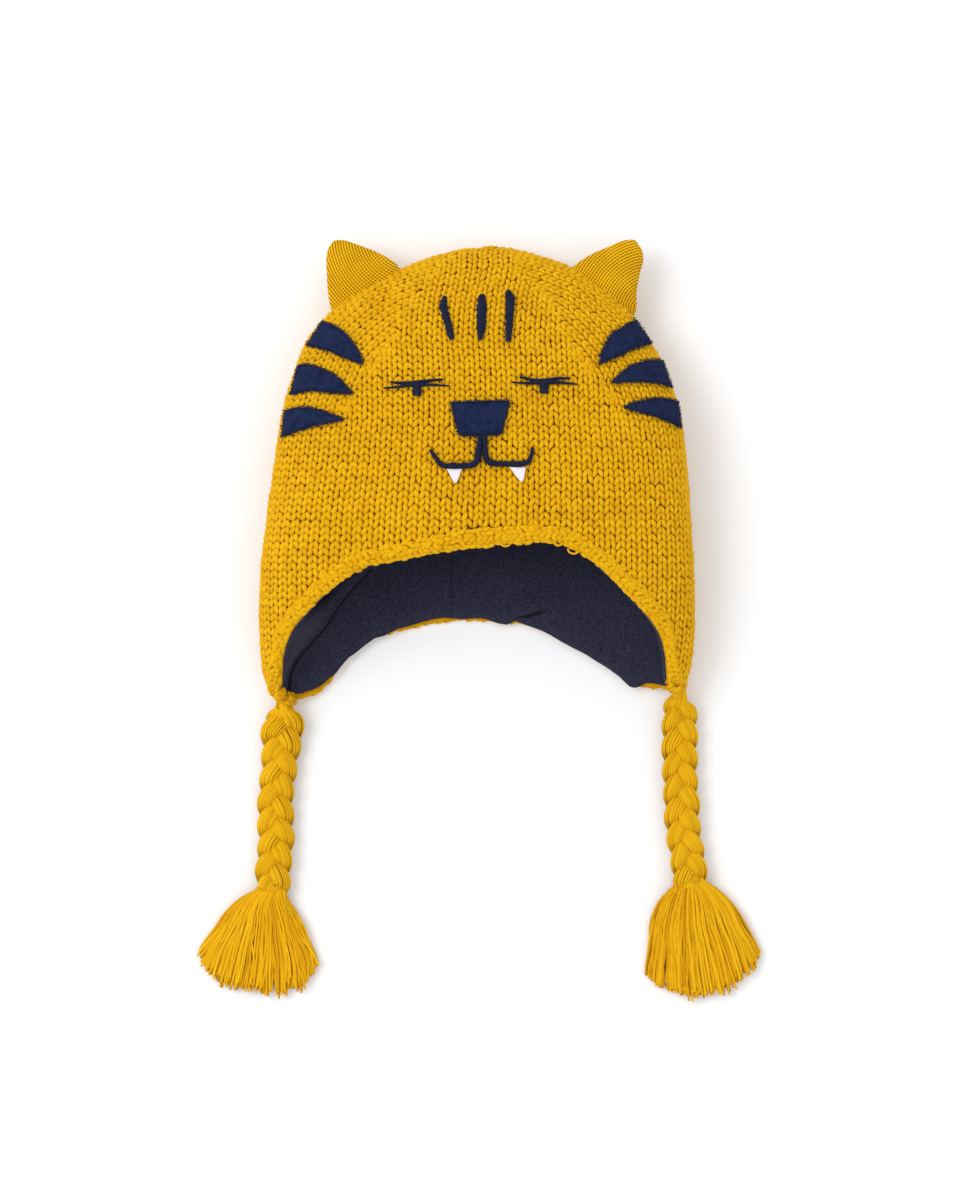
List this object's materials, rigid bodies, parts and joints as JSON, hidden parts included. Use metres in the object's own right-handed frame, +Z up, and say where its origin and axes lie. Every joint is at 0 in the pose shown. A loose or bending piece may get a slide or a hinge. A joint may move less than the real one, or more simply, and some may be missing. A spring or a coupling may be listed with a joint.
{
  "type": "tiger hat",
  "caption": "Child's knitted earflap hat with padded ears, a felt and embroidered tiger face, a fleece lining and plaited ties with tassels.",
  "frame": {"origin": "middle of the hat without its plaited ties, on the surface that it lies on", "axes": "+Y from the opening towards the crown, +Z up from the surface, out of the hat's face, +X across the hat to the right in the view from above"},
  "size_m": [0.2713, 0.3805, 0.0631],
  "materials": {
    "knit_yarn": "thick mustard stockinette knit",
    "ear_knit": "fine mustard knit",
    "plait_yarn": "loose mustard yarn",
    "fleece": "matt navy fleece",
    "navy_felt": "matt navy felt",
    "navy_thread": "navy satin stitch",
    "white_felt": "matt white felt"
  },
  "bodies": {
    "root": {"knit_shell": "knit_yarn", "rim_band": "knit_yarn", "fleece_lining": "fleece", "ear_left": "ear_knit", "ear_right": "ear_knit", "cheek_stripe_left_1": "navy_felt", "cheek_stripe_left_2": "navy_felt", "cheek_stripe_left_3": "navy_felt", "cheek_stripe_right_1": "navy_felt", "cheek_stripe_right_2": "navy_felt", "cheek_stripe_right_3": "navy_felt", "nose_patch": "navy_felt", "fang_left": "white_felt", "fang_right": "white_felt", "forehead_bar_1": "navy_thread", "forehead_bar_2": "navy_thread", "forehead_bar_3": "navy_thread", "eye_left": "navy_thread", "eye_right": "navy_thread", "mouth": "navy_thread", "braid_left": "plait_yarn", "binding_left": "plait_yarn", "tassel_left": "plait_yarn", "braid_right": "plait_yarn", "binding_right": "plait_yarn", "tassel_right": "plait_yarn"}
  },
  "joints": []
}
